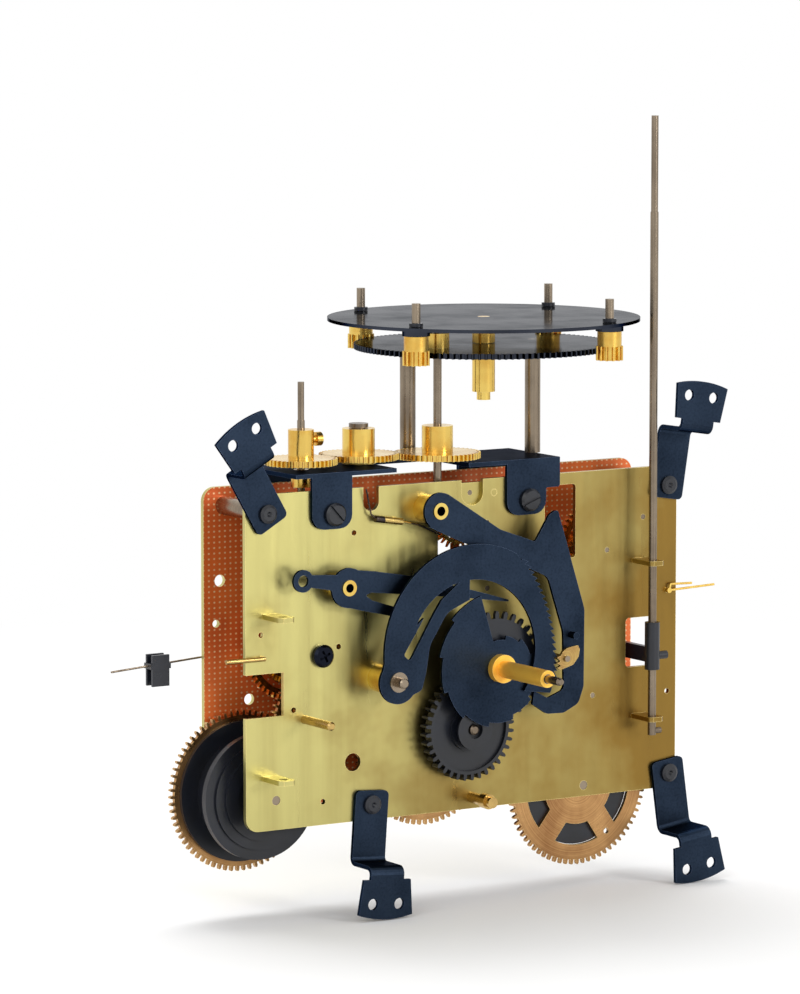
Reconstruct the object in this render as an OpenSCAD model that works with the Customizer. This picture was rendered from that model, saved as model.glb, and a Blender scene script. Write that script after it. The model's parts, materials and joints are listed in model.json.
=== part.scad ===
// Weight-driven cuckoo clock movement with a strike train, a music train and a carousel of dancers.
// The parts are laid out on the front plate: x runs right from its left edge, z runs up from its
// lower edge and y runs back from its front face, so a negative y is in front of the plate.
// Everything is then moved so that the origin is on the hand shaft, level with the feet.

/* [Plates] */
// Width of both plates
plate_w = 147.7; // [140:0.1:160]
// Height of both plates
plate_h = 96; // [95:0.1:110]
// Thickness of both plates
plate_t = 1.4; // [1:0.1:1.6]
// Space between the plates
plate_gap = 22; // [22:0.1:25]
// Radius of the plate corners
plate_corner = 4; // [1:0.1:5]
// Depth from the front plate to the face of the feet
foot_out = 12; // [10:0.1:16]

/* [Feet] */
// Thickness of the steel of the feet and the bridge
sheet_t = 1.2; // [0.8:0.1:1.4]
// Distance from a foot's rivet to its two screw holes
foot_reach = 27.1; // [24:0.1:32]
// Distance between the two screw holes of a foot
foot_hole_pitch = 8.8; // [8:0.1:10]
// Radius of a screw hole in a foot
foot_hole_r = 1.65; // [1.2:0.05:2]
// Width of a foot's strap
foot_strap_w = 11; // [8:0.1:12]
// Radius of the pillars between the plates
pillar_r = 2.6; // [2:0.1:3]

/* [Hands] */
// Hand shaft from the left edge of the plate
hand_x = 79.6; // [78:0.1:81]
// Hand shaft from the lower edge of the plate
hand_z = 42; // [41:0.1:43]
// Outer radius of the hour hand's tube
hour_tube_r = 2.5; // [2.2:0.05:2.8]
// Radius of the minute hand's arbor
minute_arbor_r = 1.35; // [1:0.05:1.5]
// How far the hour tube reaches in front of the feet
hour_tube_out = 22; // [15:0.1:30]
// How far the minute arbor reaches beyond the hour tube
minute_out = 7; // [4:0.1:10]

/* [Wheel trains] */
// Tooth size of the great wheels, as pitch diameter per tooth
great_module = 0.65; // [0.62:0.005:0.66]
// Tooth size of the quicker wheels
fine_module = 0.6; // [0.58:0.005:0.61]
// Teeth of the music great wheel
music_great_teeth = 70; // [66:1:72]
// Teeth of the going and strike great wheels
great_teeth = 72; // [70:1:74]
// Radius of the chain drums' large flange
drum_r = 18.5; // [16:0.1:19]
// Thickness of a train wheel
wheel_t = 1.2; // [0.8:0.1:1.4]
// Radius of a train arbor
arbor_r = 0.9; // [0.8:0.05:1]
// Running clearance of every pivot and stud
clear = 0.05; // [0.02:0.01:0.09]
// How much thinner a shaft is at the end that takes a pushed-on part
thinner = 0.16; // [0.16:0.01:0.2]

/* [Striking work] */
// Radius of the rack's teeth from its stud
rack_r = 54.2; // [53:0.1:55]
// Angle from one rack tooth to the next
rack_pitch = 2.17; // [2:0.01:2.4]
// Least radius of the snail
snail_low = 8.2; // [7:0.1:9.5]
// Greatest radius of the snail
snail_high = 22.4; // [20:0.1:22.8]
// Thickness of the rack, the rack hook and the lifting lever
lever_t = 1; // [0.8:0.1:1.1]

/* [Carousel] */
// Radius of the dancers' disc
disc_r = 45.4; // [44.5:0.1:50]
// Thickness of the dancers' disc
disc_t = 1; // [0.8:0.1:1.5]
// Height of the fixed toothed disc above the plates' lower edge
sun_z = 132.6; // [130:0.1:140]
// Teeth of the fixed toothed disc
sun_teeth = 124; // [116:4:126]
// Teeth of each dancer's pinion
planet_teeth = 12; // [10:1:12]
// Radius of a dancer's spindle
dancer_r = 1.25; // [1:0.05:1.5]
// Height of the bridge above the plates
bridge_lift = 3.8; // [3:0.1:5]

/* [Bird lift] */
// Radius of the upright rod that the bird stands on
bird_rod_r = 1.2; // [1:0.05:1.5]
// Height of the rod's top above the plates' lower edge
bird_rod_top = 199.5; // [150:0.5:220]
// Depth of the rod in front of the plate
bird_rod_out = 7; // [6:0.1:7.5]
// Distance that the rod's lugs stand out of the plate
lug_out = 10; // [9.5:0.1:12]

/* [Hidden] */
$fn = 64;
// overlap that joins the shapes of one solid
step = 0.01;
// gap between a shaft and what is pressed on it
seat = 0.02;
brass = [0.78, 0.72, 0.42];
gold = [0.86, 0.66, 0.26];
wheel_brass = [0.62, 0.46, 0.25];
steel = [0.66, 0.66, 0.66];
blued = [0.14, 0.17, 0.25];
slate = [0.29, 0.31, 0.36];
black = [0.08, 0.09, 0.10];

back = plate_t + plate_gap;
rear = back + plate_t;
shake = 0.25;
end_gap = 0.1;
hand = [hand_x, hand_z];

// a point at distance d and angle a from p
function polar(p, d, a) = [p[0] + d * cos(a), p[1] + d * sin(a)];
// distance between the arbors of two meshing wheels
function mesh(a, b, m) = m * (a + b) / 2;
// direction from p to q
function bearing(p, q) = atan2(q[1] - p[1], q[0] - p[0]);
// turn that puts a gap of wheel b opposite the tooth of wheel a, where b lies in direction way from a
function into(way, turn, a, b) = way + 180 - (turn - way) * a / b + 180 / b;

// Teeth of the hidden wheels and pinions
great_pinion = 10;
pinion = 8;
coarse_pinion = 16;
music_second_teeth = 48;
music_third_teeth = 48;
strike_second_teeth = 60;
pallet_teeth = 54;
fourth_teeth = 54;
warning_teeth = 44;
centre_teeth = 60;
third_teeth = 60;
escape_module = 0.55;
escape_teeth = 24;
escape_r = 8;

// Carousel and its gears
bridge_z = plate_h + bridge_lift;
bridge_top = bridge_z + sheet_t;
carousel_at = [87.2, 11.5];
planet_r = mesh(sun_teeth, planet_teeth, fine_module);
first_dancer = -61;
sun_t = 1.6;
disc_z = sun_z + 8.2;
lift_way = 197.9;
drive_teeth = 60;
lift_pinion = 10;
lift_at = polar(carousel_at, mesh(drive_teeth, lift_pinion, fine_module), lift_way);
gear_module = 0.5;
gear_1_teeth = 40;
gear_2_teeth = 44;
gear_3_teeth = 48;
gear_2_way = 157.6;
gear_1_way = 187.1;
gear_2_at = polar(lift_at, mesh(gear_2_teeth, gear_3_teeth, gear_module), gear_2_way);
gear_1_at = polar(gear_2_at, mesh(gear_1_teeth, gear_2_teeth, gear_module), gear_1_way);
gear_z = bridge_top + 1.4;
gear_t = 1.8;
crown_module = 0.8;
crown_teeth = 24;
crown_pinion = 10;
crown_r = crown_module * crown_teeth / 2;
crown_web = 0.8;
post_r = 2.3;
post_spots = [[67.3, back - 2.2], [105.6, 13.5]];
mill_arbor_r = 1.1;
lift_arbor_r = 1.2;

// Where the arbors stand
music_great_at = [9.9, 8.45];
music_second_far = mesh(music_great_teeth, great_pinion, great_module);
music_second_way = acos((gear_1_at[0] - music_great_at[0]) / music_second_far);
music_second_at = polar(music_great_at, music_second_far, music_second_way);
music_third_at = polar(music_second_at, mesh(music_second_teeth, coarse_pinion, fine_module), 90);
music_fly_at = polar(music_third_at, mesh(music_third_teeth, pinion, fine_module), 55);
time_way = -117.3;
time_great_at = polar(hand, mesh(great_teeth, great_pinion, great_module), time_way);
third_way = 86.1;
third_at = polar(hand, mesh(centre_teeth, pinion, great_module), third_way);
escape_way = 101.1;
escape_at = polar(third_at, mesh(third_teeth, pinion, escape_module), escape_way);
anchor_at = polar(escape_at, 9.8, 99);
strike_great_at = [115, 3.2];
strike_second_at = polar(strike_great_at, mesh(great_teeth, great_pinion, great_module), 83.3);
pallet_at = polar(strike_second_at, mesh(strike_second_teeth, pinion, great_module), 141.5);
fourth_at = polar(pallet_at, mesh(pallet_teeth, pinion, fine_module), 77);
warning_at = polar(fourth_at, mesh(fourth_teeth, coarse_pinion, fine_module), 31);
strike_fly_at = polar(warning_at, mesh(warning_teeth, pinion, fine_module), 35);
great_pivot_r = 1.3;
pivot_r = 0.75;
great_arbors = [music_great_at, time_great_at, strike_great_at];
small_arbors = [music_second_at, music_third_at, music_fly_at, third_at, escape_at, strike_second_at,
    fourth_at, warning_at, strike_fly_at];

// Depths of the wheels between the plates
music_great_y = back - 3.7;
music_second_y = plate_t + 1.6;
crown_y = gear_1_at[1] + crown_module * crown_pinion / 2;
music_third_y = crown_y + 1.3 * crown_module + crown_web;
time_great_y = plate_t + 9.9;
centre_y = plate_t + 2.6;
third_y = back - 6.4;
escape_y = plate_t + 8.2;
strike_great_y = plate_t + 1.5;
strike_second_y = back - 5.4;
pallet_y = plate_t + 5.8;
fourth_y = plate_t + 12.6;
warning_y = plate_t + 4;

// Motion work in front of the plate
motion_module = 0.8;
cannon_teeth = 12;
minute_teeth = 36;
motion_distance = mesh(cannon_teeth, minute_teeth, motion_module);
minute_pinion = 8;
hour_teeth = 32;
hour_module = 2 * motion_distance / (minute_pinion + hour_teeth);
minute_way = -113.8;
minute_at = polar(hand, motion_distance, minute_way);
minute_turn = into(minute_way, 0, cannon_teeth, minute_teeth);
hour_turn = into(minute_way + 180, 0, minute_pinion, hour_teeth);
minute_y = -5.4;
minute_wheel_t = 3.2;
hour_y = -7;
snail_y = -9.2;
snail_t = 0.8;
rack_y = -10.6;
hook_y = -8.2;
lever_y = -5.6;
pallet_leaf_y = rack_y - 1.2;

// Striking work
rack_at = [44.3, 40.9];
hook_at = [59.85, 88.7];
lever_at = [30.85, 68.35];
rack_stud_r = 2.9;
hook_stud_r = 2.4;
lever_stud_r = 2.3;
rack_teeth = 20;

// Direction of the rack's last tooth
rack_top_turn = 38;

// Feet: place of the rivet and direction of the foot from it
foot_spots = [[[6.6, plate_h - 5.4], 120], [[plate_w - 3.8, plate_h - 5.6], 81],
    [[41.1, 4.6], -94], [[plate_w - 3.1, 4.5], -82]];

// Posts, pins and rivets of the front plate
post_at = [19.4, 30.9];
column_at = [75.8, 3.3];
detent_at = [49.5, 86];
stop_at = [5.4, 49.5];
cock_rivets = [[63.9, plate_h - 4.2], [83.4, plate_h - 4.2]];
mill_rivet = [gear_1_at[0] - 6, 71];

// Lugs and bird rod
lug_w = 5;
left_lug_x = 8.1;
right_lug_x = 134.4;
left_lugs = [61.3, 15];
right_lugs = [68.6, 22.4];
bird_at = [right_lug_x, -bird_rod_out];
crank_window = [129.7, 140.6, 37, 51.6];
hammer_at = [20, 48.4];
hammer_r = 1;
bellows_r = 0.8;
bellows_at = [144.5, 59];

front_plate();
back_plate();
plate_pillars();
foot(0);  // foot_top_left
foot(1);  // foot_top_right
foot(2);  // foot_bottom_middle
foot(3);  // foot_bottom_right
foot_rivets();
bridge_plate();
bridge_screws();
carousel_posts();
sun_disc();
carousel_bearings();
lever_studs();
minute_stud();
arbor_brackets();
detent_spring();
front_posts();
music_great_wheel();
music_drum();
music_second_wheel();
music_contrate_wheel();
music_fly();
time_great_wheel();
time_drum();
centre_arbor();
centre_wheel();
third_wheel();
escape_wheel();
anchor();
minute_wheel();
hour_wheel();
snail();
hour_tube();
strike_great_wheel();
strike_drum();
strike_second_wheel();
pallet_arbor();
gathering_pallet();
strike_fourth_wheel();
warning_wheel();
strike_fly();
rack();
rack_hook();
lifting_lever();
mill_arbor();
mill_gear();
idler_gear();
lift_arbor();
lift_gear();
dancers_disc();
carousel_hub();
dancer(0);  // dancer_1
dancer(1);  // dancer_2
dancer(2);  // dancer_3
dancer(3);  // dancer_4
bird_rod();
bird_crank();
hammer_wire();
bellows_wire();

// moves a piece from the plate's corner to the hand shaft at the face of the feet
module placed() {
    translate([-hand_x, foot_out, -hand_z]) children();
}

// an outline in x and z made into a slab from depth y0 back to y1
module slab(y0, y1) {
    translate([0, y1, 0]) rotate([90, 0, 0]) linear_extrude(y1 - y0) children();
}

// a round bar through p from depth y0 back to y1
module bar(p, r, y0, y1) {
    translate([p[0], y0, p[1]]) rotate([-90, 0, 0]) cylinder(r = r, h = y1 - y0);
}

// a round bar that tapers from r0 at depth y0 to r1 at y1
module cone(p, r0, r1, y0, y1) {
    translate([p[0], y0, p[1]]) rotate([-90, 0, 0]) cylinder(r1 = r0, r2 = r1, h = y1 - y0);
}

// an upright bar at x and y in v from height z0 to z1
module upright(v, r, z0, z1) {
    translate([v[0], v[1], z0]) cylinder(r = r, h = z1 - z0);
}

module dot(p, r) {
    translate([p[0], p[1]]) circle(r);
}

// Outline of a toothed wheel whose first tooth points along turn. Wide and tip are the shares of
// the pitch that a tooth takes at the pitch circle and at its tip.
module toothed(teeth, m, turn, above, below, wide, tip) {
    pitch_r = m * teeth / 2;
    pitch = 360 / teeth;
    side = [[pitch_r - below * m, -wide / 2], [pitch_r, -wide / 2], [pitch_r + above * m, -tip / 2],
        [pitch_r + above * m, tip / 2], [pitch_r, wide / 2], [pitch_r - below * m, wide / 2]];
    polygon([for (i = [0 : teeth - 1]) for (c = side)
        c[0] * [cos(turn + (i + c[1]) * pitch), sin(turn + (i + c[1]) * pitch)]]);
}

module wheel_outline(teeth, m, turn) {
    toothed(teeth, m, turn, 0.9, 1.3, 0.44, 0.22);
}

module pinion_outline(teeth, m, turn) {
    toothed(teeth, m, turn, 0.6, 1.3, 0.38, 0.2);
}

// Open spaces between the arms of a wheel, between radii r0 and r1, arms of width arm
module crossings(count, r0, r1, arm, turn) {
    difference() {
        circle(r1);
        circle(r0);
        for (i = [0 : count - 1]) rotate(turn + i * 360 / count) translate([0, -arm / 2]) square([r1 + 1,
            arm]);
    }
}

// A brass train wheel at p with its front face at depth y, crossed out between hub_r and its rim
module train_wheel(p, teeth, m, turn, y, bore_r, hub_r, rim, arms) {
    root_r = m * (teeth / 2 - 1.3);
    slab(y, y + wheel_t) translate(p) difference() {
        wheel_outline(teeth, m, turn);
        circle(bore_r);
        crossings(arms, hub_r, root_r - rim, 2.2, 90);
    }
}

// A steel arbor between the plates with a pivot in each
module train_arbor(p, r, pivot) {
    bar(p, r, plate_t + shake, back - shake);
    bar(p, pivot, end_gap, rear - end_gap);
}

// The leaves of a pinion on an arbor at p, from depth y0 back to y1
module leaves(p, teeth, m, turn, y0, y1) {
    slab(y0, y1) translate(p) pinion_outline(teeth, m, turn);
}

// Holes for the pivots of every arbor
module pivot_holes() {
    for (p = great_arbors) dot(p, great_pivot_r + clear);
    for (p = small_arbors) dot(p, pivot_r + clear);
    dot(pallet_at, arbor_r + clear);
    dot(hand, minute_arbor_r + clear);
    dot(anchor_at, pivot_r + clear);
}

module plate_outline() {
    difference() {
        square([plate_w, plate_h]);
        for (x = [0, 1]) for (z = [0, 1]) translate([x * plate_w, z * plate_h])
            mirror([x, 0]) mirror([0, z]) difference() {
                translate([-1, -1]) square(plate_corner + 1);
                translate([plate_corner, plate_corner]) circle(plate_corner);
            }
    }
}

// A window with one rounded size for all its corners
module window(x0, x1, z0, z1, r) {
    translate([x0 + r, z0]) square([x1 - x0 - 2 * r, z1 - z0]);
    translate([x0, z0 + r]) square([x1 - x0, z1 - z0 - 2 * r]);
    for (x = [x0 + r, x1 - r]) for (z = [z0 + r, z1 - r]) dot([x, z], r);
}

module front_plate() placed() color(brass) {
    difference() {
        slab(0, plate_t) difference() {
            plate_outline();
            pivot_holes();
            // square notch at the left edge and round-bottomed notches at the top
            translate([-1, 32.6]) square([13.5, 12.4]);
            for (n = [[41.6, 2.6], [75.9, 3.7]]) {
                dot([n[0], plate_h - 5.6 + n[1] / 2], n[1]);
                translate([n[0] - n[1], plate_h - 5.6 + n[1] / 2]) square([2 * n[1], 10]);
            }
            window(101, 111.8, 71, 92.6, 1);
            window(64.2, 82, 69.5, 84, 1);
            window(crank_window[0], crank_window[1], crank_window[2], crank_window[3], 1.2);
            for (h = [[35.9, 83.2], [30.7, 50.9], [5, 56.2], [15.7, 33.9], [25.4, 6.7], [144.6,
                28.8]]) dot(h, 0.8);
            dot(bellows_at, bellows_r + clear);
            dot([35.4, 17.2], 2.6);
        }
        for (s = concat(stud_seats(), pillar_seats())) bar(s[0], s[1], -1, plate_t + 1);
    }
    for (z = left_lugs) lug(left_lug_x, z);
    for (z = right_lugs) lug(right_lug_x, z);
}

// Shanks that are riveted into the front plate: place and radius
function stud_seats() = [[rack_at, 1.6], [hook_at, 1.4], [lever_at, 1.4], [minute_at, 1.4],
    [post_at, 1], [column_at, 1.2], [detent_at, 0.9], [stop_at, 0.7], [mill_rivet, 1],
    [cock_rivets[0], 1], [cock_rivets[1], 1], [ear_screw(0), 1.3], [ear_screw(1), 1.3]];
function pillar_seats() = [for (f = foot_spots) [f[0], 1.5]];

// A lug that stands out of the plate like a small shelf, with a hole for an upright rod
module lug(x, z) {
    translate([0, 0, z - plate_t / 2]) linear_extrude(plate_t) difference() {
        union() {
            translate([x - lug_w / 2, -lug_out + 1.5]) square([lug_w, lug_out - 1.5]);
            translate([x - lug_w / 2 + 1, -lug_out]) square([lug_w - 2, 2]);
            for (s = [-1, 1]) dot([x + s * (lug_w / 2 - 1.5), -lug_out + 1.5], 1.5);
        }
        dot([x, -bird_rod_out], bird_rod_r + clear);
    }
}

module back_plate() placed() color(brass) {
    difference() {
        slab(back, rear) difference() {
            plate_outline();
            pivot_holes();
            for (h = [[5.3, 69, 1.7], [4, 56.7, 1.1], [14.9, 34, 1.6], [92.4, 90.1, 1]]) dot(h, h[2]);
            window(76, 90, 66, 77, 1.5);
        }
        for (s = pillar_seats()) bar(s[0], s[1], back - 1, rear + 1);
        for (i = [0, 1]) bar(ear_screw(i), 1.3, back - 1, rear + 1);
        bar(hammer_at, hammer_r + clear, back - 1, rear + 1);
        bar(bellows_at, bellows_r + clear, back - 1, rear + 1);
    }
}

module plate_pillars() placed() color(steel) {
    for (s = pillar_seats()) {
        bar(s[0], pillar_r, plate_t, back);
        bar(s[0], s[1] - 0.01, 0.1, rear - 0.1);
    }
}

// Place of a bridge ear's screw
function ear_screw(i) = i == 0 ? [28.7, plate_h - 6.9] : [94.9, plate_h - 6.9];

// A mounting foot: a strap on the plate, a step forward and a flared end with two screw holes
module foot(i) placed() color(blued) {
    spot = foot_spots[i][0];
    way = foot_spots[i][1];
    wall_far = foot_reach - 9.6;
    end_far = foot_reach + 4.4;
    translate([spot[0], 0, spot[1]]) rotate([0, -way, 0]) {
        slab(-sheet_t, 0) difference() {
            union() {
                translate([-2.5, -foot_strap_w / 2]) square([wall_far - 2.5 + step, foot_strap_w]);
                translate([-4, -foot_strap_w / 2 + 1.5]) square([4, foot_strap_w - 3]);
                for (s = [-1, 1]) dot([-2.5, s * (foot_strap_w / 2 - 1.5)], 1.5);
            }
            circle(1.5);
        }
        // the two bends and the wall between them
        translate([0, 0, -foot_strap_w / 2]) linear_extrude(foot_strap_w) polygon(rounded([[wall_far - 5,
            0, 0],
            [wall_far, 0, foot_bend + sheet_t], [wall_far, sheet_t - foot_out, foot_bend], [wall_far + 4,
                sheet_t - foot_out, 0],
            [wall_far + 4, -foot_out, 0], [wall_far - sheet_t, -foot_out, foot_bend + sheet_t],
            [wall_far - sheet_t, -sheet_t, foot_bend], [wall_far - 5, -sheet_t, 0]]));
        slab(-foot_out, -foot_out + sheet_t) difference() {
            intersection() {
                polygon([[wall_far + 2.6, -7.8], [end_far + 3, -9.4], [end_far + 3, 9.4],
                    [wall_far + 2.6, 7.8]]);
                circle(end_far);
            }
            for (s = [-1, 1]) dot([foot_reach, s * foot_hole_pitch / 2], foot_hole_r);
        }
    }
}

// Inner radius of the bends in a foot
foot_bend = 1.2;

module foot_rivets() placed() color(black) {
    for (s = pillar_seats()) {
        bar(s[0], s[1] - 0.01, -sheet_t - 0.2, 0.1);
        difference() {
            union() {
                bar(s[0], 2.7, -sheet_t - 0.8, -sheet_t);
                cone(s[0], 1.9, 2.7, -sheet_t - 1.3, -sheet_t - 0.8);
            }
            cone(s[0], 0.9, 0.3, -sheet_t - 1.4, -sheet_t - 0.8);
        }
        bar(s[0], s[1] - 0.01, rear - 0.1, rear + 0.2);
        bar(s[0], 2.7, rear, rear + 0.9);
    }
}

// Points of an outline whose corners are rounded. Each corner is given as x, z and radius.
function rounded(corners) = [for (i = [0 : len(corners) - 1])
    each fillet(corners[(i + len(corners) - 1) % len(corners)], corners[i], corners[(i + 1) % len(corners)])];

function unit(v) = v / norm(v);
function flat(c) = [c[0], c[1]];

// Points of the arc that rounds corner c between its neighbours a and b
function fillet(a, c, b) =
    let (u = unit(flat(a) - flat(c)), v = unit(flat(b) - flat(c)), half = acos(u * v) / 2)
    c[2] == 0 ? [flat(c)] :
    let (middle = flat(c) + unit(u + v) * c[2] / sin(half),
        start = flat(c) + u * c[2] / tan(half) - middle,
        end = flat(c) + v * c[2] / tan(half) - middle,
        from = atan2(start[1], start[0]),
        sweep = (atan2(end[1], end[0]) - from + 540) % 360 - 180)
    [for (k = [0 : fillet_steps]) middle + c[2] * [cos(from + sweep * k / fillet_steps),
        sin(from + sweep * k / fillet_steps)]];
fillet_steps = 5;

// A round wire or arm from point p to point q
module link(p, q, r) {
    d = q - p;
    translate(p) rotate([0, acos(d[2] / norm(d)), atan2(d[1], d[0])]) cylinder(r = r, h = norm(d));
}

// A wire of radius r through a list of points
module wire(points, r) {
    for (i = [0 : len(points) - 2]) {
        along = unit(points[i + 1] - points[i]) * r * 0.4;
        link(points[i] - along, points[i + 1] + along, r);
    }
}

// The sheet-steel bridge over the plates that carries the carousel
module bridge_plate() placed() color(blued) {
    difference() {
        union() {
            translate([0, 0, bridge_z]) linear_extrude(sheet_t) {
                translate([16, -sheet_t]) square([33.5, rear + 2 * sheet_t]);
                translate([74, -sheet_t]) square([31.5, rear + 2 * sheet_t]);
                translate([16, 18.5]) square([89.5, rear + sheet_t - 18.5]);
            }
            for (y = [-sheet_t, rear]) slab(y, y + sheet_t) {
                polygon(rounded([[21.4, bridge_top, 0], [21.4, plate_h - 11.1, 4], [34.6, plate_h - 11.1, 4],
                    [34.6, bridge_top, 0]]));
                polygon(rounded([[87.2, bridge_top, 0], [87.2, plate_h - 11.2, 4], [100.7, plate_h - 11.2, 4],
                    [100.7, plate_h - 3.7, 0.6], [105.5, plate_h - 3.7, 0.8], [105.5, bridge_top, 0]]));
            }
        }
        for (i = [0, 1]) bar(ear_screw(i), 1.3, -sheet_t - 1, rear + sheet_t + 1);
        for (p = post_spots) upright(p, post_r - 0.8, bridge_z - 1, bridge_top + 1);
        upright(gear_2_at, idler_stud_r, bridge_z - 1, bridge_top + 1);
        upright(gear_1_at, mill_bush_r, bridge_z - 1, bridge_top + 1);
    }
}
idler_stud_r = 2;
mill_bush_r = 2.2;
screw_r = 1.29;

// Slotted screws through the ears of the bridge, in front and behind
module bridge_screws() placed() color(black) {
    for (i = [0, 1]) {
        screw(ear_screw(i), -sheet_t, 1.6, i == 0 ? -48 : 20, plate_t + sheet_t);
        translate([0, rear + sheet_t, 0]) mirror([0, 1, 0])
            screw(ear_screw(i), 0, 1.6, i == 0 ? 30 : -15, plate_t + sheet_t);
    }
}

// A screw at p with its head in front of depth y and a shank of the given length behind it
module screw(p, y, head, turn, shank) {
    difference() {
        union() {
            bar(p, 3.3, y - head + 0.6, y);
            cone(p, 2.7, 3.3, y - head, y - head + 0.6);
        }
        slab(y - head - 1, y - head + 0.7) translate(p) rotate(turn) square([8, 1], center = true);
    }
    bar(p, screw_r, y - step, y + shank);
}

// Two posts that carry the fixed disc, and the idler gear's stud
module carousel_posts() placed() color(steel) {
    for (p = post_spots) {
        upright(p, post_r, bridge_top, sun_z);
        upright(p, post_r - 0.81, bridge_z, sun_z + sun_t);
    }
    upright(gear_2_at, idler_stud_r - step, bridge_z, bridge_top + step);
    upright(gear_2_at, idler_stud_r, bridge_top, idler_top + 0.2);
    upright(gear_2_at, 2.8, idler_top + 0.2, idler_top + 1.4);
}
idler_top = bridge_top + 10.4;
mill_hub_top = bridge_top + 11.4;

// Fixed toothed disc that the dancers' pinions roll round
module sun_disc() placed() color(slate) {
    difference() {
        translate([carousel_at[0], carousel_at[1], sun_z]) linear_extrude(sun_t) wheel_outline(sun_teeth,
            fine_module, 0);
        upright(carousel_at, sleeve_spigot_r, sun_z - 1, sun_z + sun_t + 1);
        upright(lift_at, lift_bush_r - 0.9, sun_z - 1, sun_z + sun_t + 1);
        for (p = post_spots) upright(p, post_r - 0.8, sun_z - 1, sun_z + sun_t + 1);
    }
}
sleeve_r = 3.35;
sleeve_spigot_r = 2.9;
sleeve_drop = 12.6;
shaft_r = 2;
lift_bush_r = 3.4;
lift_bush_top = sun_z + 5.8;

// Brass bearings: the carousel's sleeve, the lift arbor's bush and the mill arbor's bush
module carousel_bearings() placed() color(gold) {
    difference() {
        union() {
            upright(carousel_at, sleeve_r, sun_z - sleeve_drop, sun_z);
            upright(carousel_at, sleeve_r + 0.8, sun_z - 1.8, sun_z);
            upright(carousel_at, sleeve_spigot_r - step, sun_z - step, sun_z + sun_t);
        }
        upright(carousel_at, shaft_r + clear, sun_z - sleeve_drop - 1, sun_z + sun_t + 1);
    }
    difference() {
        union() {
            upright(lift_at, lift_bush_r, sun_z + sun_t, lift_bush_top);
            upright(lift_at, lift_bush_r - 0.91, sun_z, sun_z + sun_t + step);
        }
        upright(lift_at, lift_arbor_r + clear, sun_z - 1, lift_bush_top + 1);
    }
    difference() {
        union() {
            upright(gear_1_at, mill_bush_r - step, plate_h, bridge_top);
            upright(gear_1_at, mill_bush_r + 0.7, plate_h, plate_h + 2.6);
        }
        upright(gear_1_at, mill_arbor_r + clear, plate_h - 1, bridge_top + 1);
    }
}

// Brass studs of the rack, the rack hook and the lifting lever
module lever_studs() placed() color(gold) {
    bar(rack_at, 1.59, 0, plate_t);
    bar(rack_at, 4, rack_y + lever_t + 0.1, 0);
    bar(rack_at, rack_stud_r, rack_y - 0.3, rack_y + lever_t + 0.1 + step);
    bar(rack_at, 1.5, rack_y - 3, rack_y);
    cone(rack_at, 1.1, 1.5, rack_y - 3.4, rack_y - 3);
    hollow_stud(hook_at, hook_y, 4.2, hook_stud_r);
    hollow_stud(lever_at, lever_y, 3.3, lever_stud_r);
}

// A shouldered stud with a hollow riveted end in front of the lever at depth y
module hollow_stud(p, y, shoulder, r) {
    bar(p, 1.39, 0, plate_t);
    difference() {
        union() {
            bar(p, shoulder, y + lever_t + 0.1, 0);
            bar(p, r, y - 0.4, y + lever_t + 0.1 + step);
        }
        bar(p, r - 1.1, y - 1, y + 3.5);
    }
}

module minute_stud() placed() color(steel) {
    bar(minute_at, 1.39, 0, plate_t);
    bar(minute_at, 3, minute_y + minute_wheel_t + 0.1, 0);
    // it ends behind the snail, whose high steps pass over it
    tip = snail_y + snail_t + 0.2;
    bar(minute_at, minute_stud_r, tip + 0.4, 0);
    cone(minute_at, 1, minute_stud_r, tip, tip + 0.4);
}
minute_stud_r = 1.5;

// Brackets behind the front plate: one for the anchor and the lift arbor, one for the mill arbor
module arbor_brackets() placed() color(brass) {
    difference() {
        union() {
            slab(plate_t, plate_t + sheet_t)
                polygon(rounded([[62.7, cock_z, 0], [86, cock_z, 1], [86, plate_h - 1, 1], [62.7,
                    plate_h - 1, 1]]));
            translate([62.7, plate_t, cock_z]) cube([lift_at[0] - 58.7, lift_at[1] + 1.6, sheet_t]);
            for (p = cock_rivets) bar(p, 0.99, 0, plate_t + step);
        }
        bar(anchor_at, pivot_r + clear, 0, plate_t + sheet_t + 1);
        upright(lift_at, pivot_r + clear, cock_z - 1, cock_z + sheet_t + 1);
    }
    difference() {
        union() {
            slab(plate_t, plate_t + sheet_t)
                polygon(rounded([[mill_rivet[0] - 2.5, shelf_z, 0], [gear_1_at[0] + 2, shelf_z, 0],
                    [gear_1_at[0] + 2, shelf_z + 5, 2], [mill_rivet[0] + 2.5, mill_rivet[1] + 2.5, 2],
                    [mill_rivet[0] - 2.5, mill_rivet[1] + 2.5, 2]]));
            translate([gear_1_at[0] - 2, plate_t, shelf_z]) cube([4, gear_1_at[1] + 0.8, sheet_t]);
            bar(mill_rivet, 0.99, 0, plate_t + step);
        }
        upright(gear_1_at, mill_arbor_r + clear, shelf_z - 1, shelf_z + sheet_t + 1);
    }
}
cock_z = plate_h - 8.5;
shelf_z = music_third_at[1] + crown_r + 1.9;

// A spring wire held in a slit brass pin
module detent_spring() placed() color(gold) {
    bar(detent_at, 0.89, -1.6, plate_t);
    link([detent_at[0] - 7.5, -1.6, detent_at[1] + 1], [detent_at[0] + 1.5, -1.6, detent_at[1] - 0.4], 1);
    wire([[39, -1.6, plate_h - 0.4], [40.6, -1.6, 88.4], [detent_at[0] - 7, -1.6, detent_at[1] + 0.9]], 0.25);
    wire([[detent_at[0] + 1, -1.6, detent_at[1] - 0.3], [56.5, -1.6, 84.4], [64, -1.6, 81]], 0.25);
}

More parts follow.
